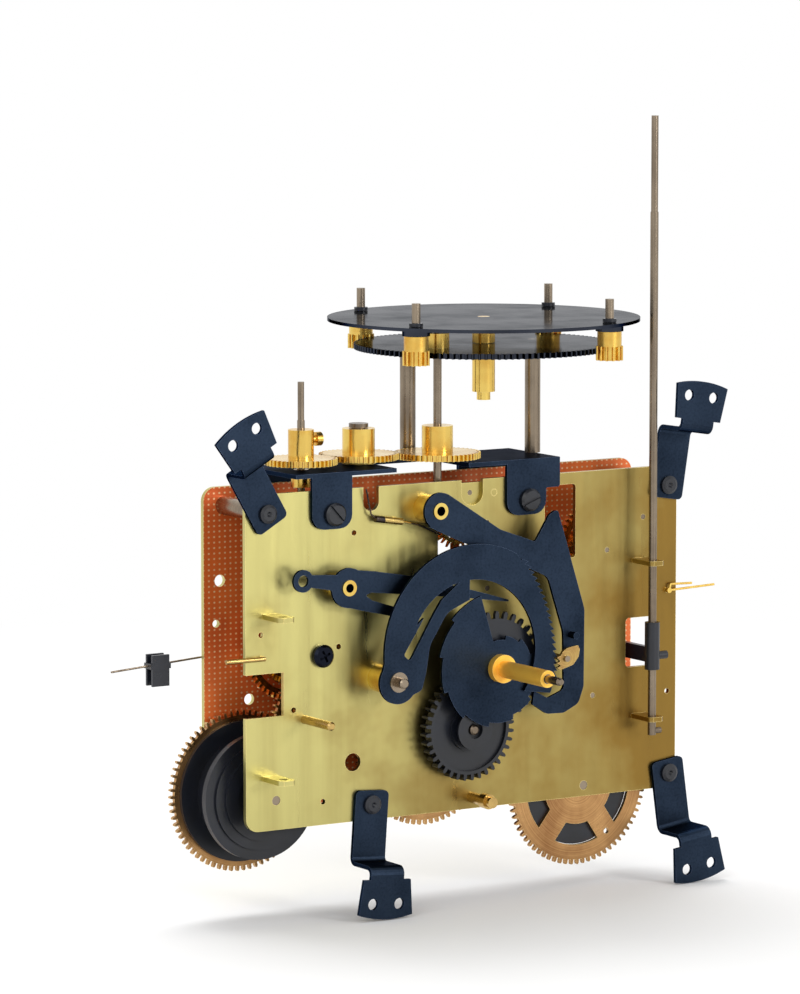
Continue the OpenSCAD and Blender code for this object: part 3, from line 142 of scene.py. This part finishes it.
class Finish:
    """A node material built step by step round one Principled shader."""

    def __init__(self, name):
        self.material = bpy.data.materials.new(name)
        self.material.use_nodes = True
        self.tree = self.material.node_tree
        self.tree.nodes.clear()
        self.shader = self.node("ShaderNodeBsdfPrincipled")
        output = self.node("ShaderNodeOutputMaterial")
        self.join(self.shader.outputs["BSDF"], output.inputs["Surface"])
        self.place = self.node("ShaderNodeTexCoord").outputs["Object"]

    def node(self, kind, **settings):
        made = self.tree.nodes.new(kind)
        for key, value in settings.items():
            setattr(made, key, value)
        return made

    def join(self, source, target):
        self.tree.links.new(source, target)

    def set(self, **values):
        """Fixed values on the shader's own sockets."""
        for key, value in values.items():
            self.shader.inputs[key.replace("_", " ")].default_value = value

    def noise(self, scale, stretch=(1, 1, 1), detail=4.0, roughness=0.6):
        """Noise on object coordinates, with scale grains per metre times stretch along each axis."""
        mapping = self.node("ShaderNodeMapping")
        mapping.inputs["Scale"].default_value = stretch
        self.join(self.place, mapping.inputs["Vector"])
        texture = self.node("ShaderNodeTexNoise")
        texture.inputs["Scale"].default_value = scale
        texture.inputs["Detail"].default_value = detail
        texture.inputs["Roughness"].default_value = roughness
        self.join(mapping.outputs["Vector"], texture.inputs["Vector"])
        return texture.outputs["Fac"]

    def rings(self, radius, scale):
        """Turning marks: noise that depends on the distance from the axis alone."""
        texture = self.node("ShaderNodeTexNoise", noise_dimensions="1D")
        texture.inputs["Scale"].default_value = scale
        texture.inputs["Detail"].default_value = 3.0
        self.join(radius, texture.inputs["W"])
        return texture.outputs["Fac"]

    def coordinate(self, letter):
        """One object coordinate, in metres."""
        split = self.node("ShaderNodeSeparateXYZ")
        self.join(self.place, split.inputs[0])
        return split.outputs[letter]

    def from_axis(self, centre, along):
        """Distance from an axis that runs through centre along Y or along Z, in metres."""
        mapping = self.node("ShaderNodeMapping")
        mapping.inputs["Location"].default_value = [-c for c in centre]
        mapping.inputs["Scale"].default_value = (1, 0, 1) if along == "Y" else (1, 1, 0)
        mapping.inputs["Location"].default_value[1 if along == "Y" else 2] = 0
        self.join(self.place, mapping.inputs["Vector"])
        length = self.node("ShaderNodeVectorMath", operation="LENGTH")
        self.join(mapping.outputs["Vector"], length.inputs[0])
        return length.outputs["Value"]

    def dots(self, letter, pitch):
        """One side of a grid of dots: a sine wave along one axis, 1 at each dot and 0 between two."""
        turns = self.math("MULTIPLY", self.coordinate(letter), 2 * np.pi / pitch)
        return self.spread(self.math("SINE", turns), -1, 1)

    def facing(self, way):
        """Is 1 where the surface faces the way given as a unit vector, and 0 on its sides and back."""
        true = self.node("ShaderNodeNewGeometry")
        dot = self.node("ShaderNodeVectorMath", operation="DOT_PRODUCT")
        dot.inputs[1].default_value = way
        self.join(true.outputs["True Normal"], dot.inputs[0])
        return self.spread(dot.outputs["Value"], 0.6, 0.9)

    def math(self, operation, first, second=None, clamp=False):
        """One sum, product or other step on one or two values."""
        step = self.node("ShaderNodeMath", operation=operation, use_clamp=clamp)
        for index, value in enumerate((first, second)):
            if isinstance(value, (int, float)):
                step.inputs[index].default_value = value
            elif value is not None:
                self.join(value, step.inputs[index])
        return step.outputs[0]

    def spread(self, value, low, high, to_low=0.0, to_high=1.0):
        """Maps the range from low to high onto the range from to_low to to_high."""
        ramp = self.node("ShaderNodeMapRange")
        ramp.inputs["From Min"].default_value = low
        ramp.inputs["From Max"].default_value = high
        ramp.inputs["To Min"].default_value = to_low
        ramp.inputs["To Max"].default_value = to_high
        self.join(value, ramp.inputs["Value"])
        return ramp.outputs["Result"]

    def mix(self, amount, first, second):
        """The first colour where amount is 0 and the second where it is 1."""
        blend = self.node("ShaderNodeMix", data_type="RGBA")
        self.join(amount, blend.inputs[0])
        for index, colour in ((6, first), (7, second)):
            if isinstance(colour, tuple):
                blend.inputs[index].default_value = colour
            else:
                self.join(colour, blend.inputs[index])
        return blend.outputs[2]

    def edges(self, radius):
        """Is 0 on flat ground and 1 on an edge: how far a rounded normal leans from the true one."""
        rounded = self.node("ShaderNodeBevel", samples=4)
        rounded.inputs["Radius"].default_value = radius
        true = self.node("ShaderNodeNewGeometry")
        dot = self.node("ShaderNodeVectorMath", operation="DOT_PRODUCT")
        self.join(rounded.outputs["Normal"], dot.inputs[0])
        self.join(true.outputs["True Normal"], dot.inputs[1])
        return self.spread(dot.outputs["Value"], 0.995, 0.85)

    def bump(self, height, depth):
        """Raises the surface by height times depth, in metres."""
        relief = self.node("ShaderNodeBump")
        relief.inputs["Strength"].default_value = 1.0
        relief.inputs["Distance"].default_value = depth
        self.join(height, relief.inputs["Height"])
        self.join(relief.outputs["Normal"], self.shader.inputs["Normal"])

    def colour(self, socket):
        self.join(socket, self.shader.inputs["Base Color"])

    def roughness(self, value, low, high):
        """Roughness that varies with a value of about 0.3 to 0.7."""
        self.join(self.spread(value, 0.3, 0.7, low, high), self.shader.inputs["Roughness"])


def plate_brass(name, pale, warm, inner):
    """Sheet brass with a painted reflection, lit and pale at the left and shaded and warmer to the
    right, with upright streaks of painted reflection and real stains. With inner set, the face towards
    the viewer is painted red-brown as the warm light between the plates, with a fine grid of dots."""
    look = Finish(name)
    look.set(Metallic=1.0)
    streaks = look.noise(70, stretch=(1, 1, 0.05), detail=5)
    clouds = look.noise(26)
    # Painted reflection: the colour goes from lit and pale at the left to shaded and warm at the right,
    # with random tone from the clouds
    painted_light_across = look.spread(look.coordinate("X"), -PAINTED_LIGHT_REACH, PAINTED_LIGHT_REACH)
    painted_light_and_tone = look.math("ADD", painted_light_across, look.spread(clouds, 0.3, 0.7, -0.3, 0.3), clamp=True)
    base = look.mix(painted_light_and_tone, pale, warm)
    # Painted reflection streaks running upright, together with real stains from the clouds, darken the
    # colour
    stain_and_painted_streaks = look.math("ADD", look.spread(streaks, 0.5, 0.8, 0, 0.4),
                      look.spread(clouds, 0.58, 0.78, 0, 0.4), clamp=True)
    base = look.mix(stain_and_painted_streaks, base, PLATE_STAIN_AND_STREAK_SHADE)
    if inner:
        dots = look.math("MULTIPLY", look.dots("X", DOT_PITCH_X), look.dots("Z", DOT_PITCH_Z))
        # Painted warm light: the inner face gets a red-brown ground in place of the plate's brass, with
        # a grid of dots on it
        ground = look.mix(look.spread(clouds, 0.35, 0.7), INNER_PAINTED_LIGHT, INNER_PAINTED_LIGHT_DEEP)
        painted_light_with_dots = look.mix(look.spread(dots, 0.6, 0.85, 0, 0.85), ground, INNER_DOT)
        front = look.facing((0, -1, 0))
        base = look.mix(front, base, painted_light_with_dots)
        look.join(look.spread(front, 0, 1, 1, 0.35), look.shader.inputs["Metallic"])
    # Painted highlight: a bright line along the edges
    look.colour(look.mix(look.edges(PLATE_EDGE), base, PAINTED_EDGE_HIGHLIGHT))
    look.roughness(look.noise(300, stretch=(1, 1, 0.06)), 0.26, 0.4)
    look.bump(look.noise(900, stretch=(1, 1, 0.05), detail=2), 0.004 * MM)
    return look.material


def turned_brass(name, centre, along, light, deep, rough, arbor_r, metal=1.0):
    """Turned brass round an axis, with tarnish in patches, turning marks and a painted highlight on the
    edges.
    Nearer the axis than arbor_r it is the steel of the arbor."""
    look = Finish(name)
    look.set(Metallic=metal)
    far = look.from_axis(centre, along)
    patches = look.noise(90)
    marks = look.rings(far, 2600)
    tone = look.math("ADD", look.spread(patches, 0.4, 0.7, 0, 0.6),
                     look.spread(marks, 0.35, 0.7, 0, 0.4), clamp=True)
    base = look.mix(tone, light, deep)
    # Painted highlight: a bright line along the edges
    base = look.mix(look.edges(FINE_EDGE), base, PAINTED_EDGE_HIGHLIGHT)
    if arbor_r:
        on_arbor = look.spread(far, (arbor_r + 0.06) * MM, (arbor_r + 0.02) * MM)
        base = look.mix(on_arbor, base, STEEL)
    look.colour(base)
    look.roughness(patches, rough, rough + 0.12)
    look.bump(marks, 0.003 * MM)
    return look.material


def drawn_metal(name, light, deep, rough):
    """Drawn rod or wire with fine lines and a few dull spots."""
    look = Finish(name)
    look.set(Metallic=1.0)
    lines = look.noise(1200, stretch=(1, 1, 0.02), detail=2)
    spots = look.noise(60)
    tone = look.math("ADD", look.spread(lines, 0.4, 0.7, 0, 0.3),
                     look.spread(spots, 0.4, 0.75, 0, 0.6), clamp=True)
    look.colour(look.mix(tone, light, deep))
    look.roughness(spots, rough, rough + 0.12)
    look.bump(lines, 0.001 * MM)
    return look.material


def front_pins(name):
    """Bronze-brown pins on the plate, and the dark cap screw of the music train's third arbor."""
    look = Finish(name)
    look.set(Metallic=1.0)
    patches = look.noise(120)
    bronze = look.mix(look.spread(patches, 0.4, 0.7), PIN_BRONZE, BRONZE_DEEP)
    cap = look.from_axis(axis_of("music_contrate_wheel")[0], "Y")
    look.colour(look.mix(look.spread(cap, CAP_R + 0.1 * MM, CAP_R), bronze, MOULDED_AND_BORE_SHADE))
    look.roughness(patches, 0.18, 0.32)
    look.bump(patches, 0.002 * MM)
    return look.material


def spring_wire(name):
    """Dark spring wire, and the slit brass pin that holds it."""
    look = Finish(name)
    look.set(Metallic=1.0)
    patches = look.noise(200)
    low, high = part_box("detent_spring")
    middle = low[0] + SPRING_PIN_SHARE * (high[0] - low[0])
    near = look.math("ABSOLUTE", look.math("SUBTRACT", look.coordinate("X"), float(middle)))
    wire = look.mix(look.spread(patches, 0.4, 0.7), STEEL_DEEP, BLUED_DEEP)
    on_pin = look.spread(near, SPRING_PIN_HALF + 0.1 * MM, SPRING_PIN_HALF)
    look.colour(look.mix(on_pin, wire, PALLET_BRASS))
    look.roughness(patches, 0.2, 0.35)
    look.bump(patches, 0.001 * MM)
    return look.material


def wire_with_clip(name):
    """Brown-grey steel wire with a black clip near its free end."""
    look = Finish(name)
    patches = look.noise(200)
    clip = float(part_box("hammer_wire")[0][0] + CLIP_FROM_END)
    near = look.math("ABSOLUTE", look.math("SUBTRACT", look.coordinate("X"), clip))
    on_clip = look.spread(near, CLIP_HALF + 0.1 * MM, CLIP_HALF)
    wire = look.mix(look.spread(patches, 0.4, 0.7), STEEL, STEEL_DEEP)
    look.colour(look.mix(on_clip, wire, MOULDED_AND_BORE_SHADE))
    look.join(look.spread(on_clip, 0, 1, 1, 0), look.shader.inputs["Metallic"])
    look.roughness(patches, 0.24, 0.36)
    look.bump(patches, 0.002 * MM)
    return look.material


def lever_stud_brass(name):
    """Brass studs: two riveted ends are hollow and painted dark inside as the shade in their bores, and
    the rack's stud ends in steel.
    """
    look = Finish(name)
    look.set(Metallic=1.0)
    patches = look.noise(100)
    base = look.mix(look.spread(patches, 0.4, 0.7), GOLD, GOLD_DEEP)
    # Painted shade: the inside of each hollow stud's bore is coloured black
    for lever, bore in (("rack_hook", HOOK_STUD_BORE), ("lifting_lever", LEVER_STUD_BORE)):
        far = look.from_axis(axis_of(lever)[0], "Y")
        base = look.mix(look.spread(far, bore + SHARP, bore), base, MOULDED_AND_BORE_SHADE)
    steel_from = float(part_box("rack")[0][1]) - STUD_STEEL_FROM
    in_front = look.spread(look.coordinate("Y"), steel_from, steel_from - SHARP)
    look.colour(look.mix(in_front, base, STEEL))
    look.roughness(patches, 0.16, 0.28)
    look.bump(patches, 0.002 * MM)
    return look.material


def blued_steel(name, light, deep, rough):
    """Blued sheet steel: dark, slightly blue, with a fine speckle and a painted highlight on the edges.
    The specular tint keeps it dark where it is seen at a flat angle."""
    look = Finish(name)
    look.set(Metallic=1.0, Specular_Tint=FLAT_ANGLE_TINT)
    speckle = look.noise(1400, detail=2)
    clouds = look.noise(60)
    tone = look.math("ADD", look.spread(clouds, 0.35, 0.7, 0, 0.6),
                     look.spread(speckle, 0.45, 0.75, 0, 0.4), clamp=True)
    base = look.mix(tone, light, deep)
    # Painted highlight: a lighter blue line along the edges
    look.colour(look.mix(look.edges(FINE_EDGE), base, BLUED_PAINTED_EDGE_HIGHLIGHT))
    look.roughness(clouds, rough, rough + 0.12)
    look.bump(speckle, 0.006 * MM)
    return look.material


def polished_slate(name, centre):
    """A disc of dark polished steel with faint turning marks and dust."""
    look = Finish(name)
    look.set(Metallic=1.0, Specular_Tint=SLATE_TINT)
    marks = look.rings(look.from_axis(centre, "Z"), 1500)
    dust = look.noise(50)
    look.colour(look.mix(look.spread(dust, 0.4, 0.75), SLATE, SLATE_DEEP))
    look.roughness(dust, 0.08, 0.2)
    look.bump(marks, 0.0015 * MM)
    return look.material


def moulded_black(name, light, deep, rough):
    """Moulded black plastic with a faint bloom."""
    look = Finish(name)
    look.set(Specular_IOR_Level=0.5)
    bloom = look.noise(70)
    grain = look.noise(1800, detail=2)
    look.colour(look.mix(look.spread(bloom, 0.35, 0.7), light, deep))
    look.roughness(bloom, rough, rough + 0.15)
    look.bump(grain, 0.004 * MM)
    return look.material


def dancer_spindle(name, centre):
    """A dancer's spindle: brass below the disc, a black collar on it and a steel end above."""
    look = Finish(name)
    height = look.coordinate("Z")
    on_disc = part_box("dancers_disc")[1][2]
    patches = look.noise(90)
    brass = look.mix(look.spread(patches, 0.4, 0.7), GOLD, GOLD_DEEP)
    collar_top = on_disc + COLLAR_HEIGHT
    above_disc = look.spread(height, on_disc - 0.1 * MM, on_disc)
    below_top = look.spread(height, collar_top + SHARP, collar_top)
    collar = look.mix(above_disc, brass, MOULDED_AND_BORE_SHADE)
    look.colour(look.mix(look.spread(height, collar_top, collar_top + SHARP), collar, STEEL))
    dark = look.math("MULTIPLY", above_disc, below_top)
    look.join(look.spread(dark, 0, 1, 1.0, 0.0), look.shader.inputs["Metallic"])
    look.roughness(patches, 0.2, 0.34)
    look.bump(look.rings(look.from_axis(centre, "Z"), 2600), 0.002 * MM)
    return look.material


def turned(node, light, deep, rough, arbor_r=0.0, metal=1.0):
    centre, along = axis_of(node)
    return turned_brass(node, centre, along, light, deep, rough, arbor_r, metal)


def dress(material, *names):
    """Gives CAD nodes a material in place of their plain colour."""
    for name in names:
        slots = nodes[name].data.materials
        slots.clear()
        slots.append(material)


dress(plate_brass("plate_brass", PLATE_PAINTED_LIT, PLATE_PAINTED_SHADE, False), "front_plate", "arbor_brackets")
dress(plate_brass("inner_plate_brass", PLATE_PAINTED_LIT, PLATE_PAINTED_SHADE, True), "back_plate")
dress(blued_steel("blued_steel", BLUED, BLUED_DEEP, 0.34), "foot_top_left", "foot_top_right",
      "foot_bottom_middle", "foot_bottom_right", "bridge_plate", "rack", "rack_hook",
      "lifting_lever", "snail")
dress(drawn_metal("steel", STEEL, STEEL_DEEP, 0.2), "plate_pillars", "carousel_posts", "minute_stud",
      "centre_arbor", "anchor", "music_fly", "strike_fly", "mill_arbor", "lift_arbor", "bird_rod")
dress(wire_with_clip("wire_with_clip"), "hammer_wire")
dress(front_pins("front_pins"), "front_posts")
dress(spring_wire("spring_wire"), "detent_spring")
dress(lever_stud_brass("lever_stud_brass"), "lever_studs")
dress(moulded_black("moulded_black", MOULDED_AND_BORE_SHADE, MOULDED_DEEP, 0.3), "foot_rivets", "bridge_screws",
      "music_drum", "time_drum", "strike_drum", "bird_crank")
dress(moulded_black("motion_black", MOTION_BLACK, MOTION_DEEP, 0.26), "minute_wheel", "hour_wheel")
dress(turned("hour_tube", TUBE_GOLD, TUBE_DEEP, 0.34, metal=0.55), "hour_tube")
dress(turned("gathering_pallet", PALLET_BRASS, WHEEL_TARNISH, 0.28), "gathering_pallet")
dress(drawn_metal("bright_brass_wire", GOLD, GOLD_DEEP, 0.25), "bellows_wire")

for wheel, arbor_r in (("music_great_wheel", 2), ("time_great_wheel", 2), ("strike_great_wheel", 2),
                       ("music_second_wheel", 0.9), ("third_wheel", 0.9), ("strike_second_wheel", 0.9),
                       ("pallet_arbor", 1.3), ("strike_fourth_wheel", 0.9), ("centre_wheel", 0)):
    dress(turned(wheel, WHEEL_BRASS, WHEEL_TARNISH, 0.24, arbor_r), wheel)
for wheel, arbor_r in (("music_contrate_wheel", 0.9), ("escape_wheel", 0.9), ("warning_wheel", 0.9),
                       ("mill_gear", 0), ("idler_gear", 0), ("lift_gear", 0),
                       ("carousel_hub", 0)):
    dress(turned(wheel, GOLD, GOLD_DEEP, 0.16, arbor_r), wheel)
bearing_centre = axis_of("carousel_hub")[0]
dress(turned_brass("bearing_brass", bearing_centre, "Z", GOLD, GOLD_DEEP, 0.16, 0), "carousel_bearings")
for disc in ("sun_disc", "dancers_disc"):
    dress(polished_slate(disc, axis_of("dancers_disc")[0]), disc)
for k in range(1, 5):
    dress(dancer_spindle("dancer_%d" % k, axis_of("dancer_%d" % k)[0]), "dancer_%d" % k)


# Studio

def add_floor():
    """A wide flat floor. Near the object it is plain white and takes its shadow, and from half a
    metre out it shows as even white to the camera and in reflections."""
    mesh = bpy.data.meshes.new("floor")
    low = cad_low[2] - FLOOR_DROP
    reach = FLOOR_REACH
    corners = [(-reach, -reach, low), (reach, -reach, low), (reach, reach, low), (-reach, reach, low)]
    mesh.from_pydata(corners, [], [(0, 1, 2, 3)])
    floor = bpy.data.objects.new("floor", mesh)
    bpy.context.scene.collection.objects.link(floor)
    look = Finish("floor_white")
    look.set(Base_Color=(0.9, 0.9, 0.9, 1), Roughness=0.95, Specular_IOR_Level=0.1)
    far = look.spread(look.from_axis((0, 0, 0), "Z"), WHITE_FROM, WHITE_FULL)
    white = look.node("ShaderNodeEmission")
    rays = look.node("ShaderNodeLightPath")
    seen = look.math("ADD", rays.outputs["Is Camera Ray"], rays.outputs["Is Glossy Ray"], clamp=True)
    seen = look.math("ADD", seen, rays.outputs["Is Transmission Ray"], clamp=True)
    blend = look.node("ShaderNodeMixShader")
    look.join(look.math("MULTIPLY", far, seen), blend.inputs[0])
    look.join(look.shader.outputs["BSDF"], blend.inputs[1])
    look.join(white.outputs["Emission"], blend.inputs[2])
    output = next(node for node in look.tree.nodes if node.type == "OUTPUT_MATERIAL")
    look.join(blend.outputs["Shader"], output.inputs["Surface"])
    mesh.materials.append(look.material)


def add_area_light(name, place, target, size, power):
    lamp = bpy.data.lights.new(name, "AREA")
    lamp.shape = "RECTANGLE"
    lamp.size, lamp.size_y = size
    lamp.energy = power
    holder = bpy.data.objects.new(name, lamp)
    holder.location = place
    way = Vector(target) - Vector(place)
    holder.rotation_euler = way.to_track_quat("-Z", "Y").to_euler()
    bpy.context.scene.collection.objects.link(holder)


def add_world():
    """White to the camera and in reflections, and a softer grey, darker towards the floor, as light."""
    world = bpy.data.worlds.new("studio")
    bpy.context.scene.world = world
    world.use_nodes = True
    tree = world.node_tree
    soft = tree.nodes["Background"]
    height = tree.nodes.new("ShaderNodeSeparateXYZ")
    way = tree.nodes.new("ShaderNodeTexCoord")
    tree.links.new(way.outputs["Generated"], height.inputs[0])
    level = tree.nodes.new("ShaderNodeMapRange")
    level.inputs["From Min"].default_value = -0.2
    level.inputs["From Max"].default_value = 0.8
    level.inputs["To Min"].default_value = 0.3
    level.inputs["To Max"].default_value = 0.8
    tree.links.new(height.outputs["Z"], level.inputs["Value"])
    tree.links.new(level.outputs["Result"], soft.inputs["Strength"])
    white = tree.nodes.new("ShaderNodeBackground")
    rays = tree.nodes.new("ShaderNodeLightPath")
    blend = tree.nodes.new("ShaderNodeMixShader")
    either = tree.nodes.new("ShaderNodeMath")
    either.operation = "ADD"
    either.use_clamp = True
    tree.links.new(rays.outputs["Is Camera Ray"], either.inputs[0])
    tree.links.new(rays.outputs["Is Glossy Ray"], either.inputs[1])
    shown = tree.nodes.new("ShaderNodeMath")
    shown.operation = "ADD"
    shown.use_clamp = True
    tree.links.new(either.outputs[0], shown.inputs[0])
    tree.links.new(rays.outputs["Is Transmission Ray"], shown.inputs[1])
    tree.links.new(shown.outputs[0], blend.inputs[0])
    tree.links.new(soft.outputs["Background"], blend.inputs[1])
    tree.links.new(white.outputs["Background"], blend.inputs[2])
    white.inputs["Color"].default_value = (1, 1, 1, 1)
    soft.inputs["Color"].default_value = (1, 1, 1, 1)
    tree.links.new(blend.outputs["Shader"], tree.nodes["World Output"].inputs["Surface"])


add_floor()
add_area_light("key_light", (0.4, -1.1, 0.35), (0, 0, 0.03), (0.3, 0.3), 4.5)
add_area_light("fill_light", (-0.9, -0.6, 0.6), (0, 0, 0.05), (0.8, 0.8), 3)
add_area_light("top_light", (0.1, 0.5, 1.1), (0, 0, 0.1), (0.9, 0.6), 8)
add_world()
bpy.context.scene.view_settings.view_transform = "Standard"


# Camera: it looks 32 degrees to the right of straight on and 7 degrees down

lens = bpy.data.cameras.new("camera")
lens.lens = 195.88
lens.clip_start = 0.1
lens.clip_end = 60
camera = bpy.data.objects.new("camera", lens)
camera.location = (-0.84432, -1.28694, 0.23298)
camera.rotation_euler = (radians(90 - 6.784), 0, radians(-32.139))
bpy.context.scene.collection.objects.link(camera)
bpy.context.scene.camera = camera
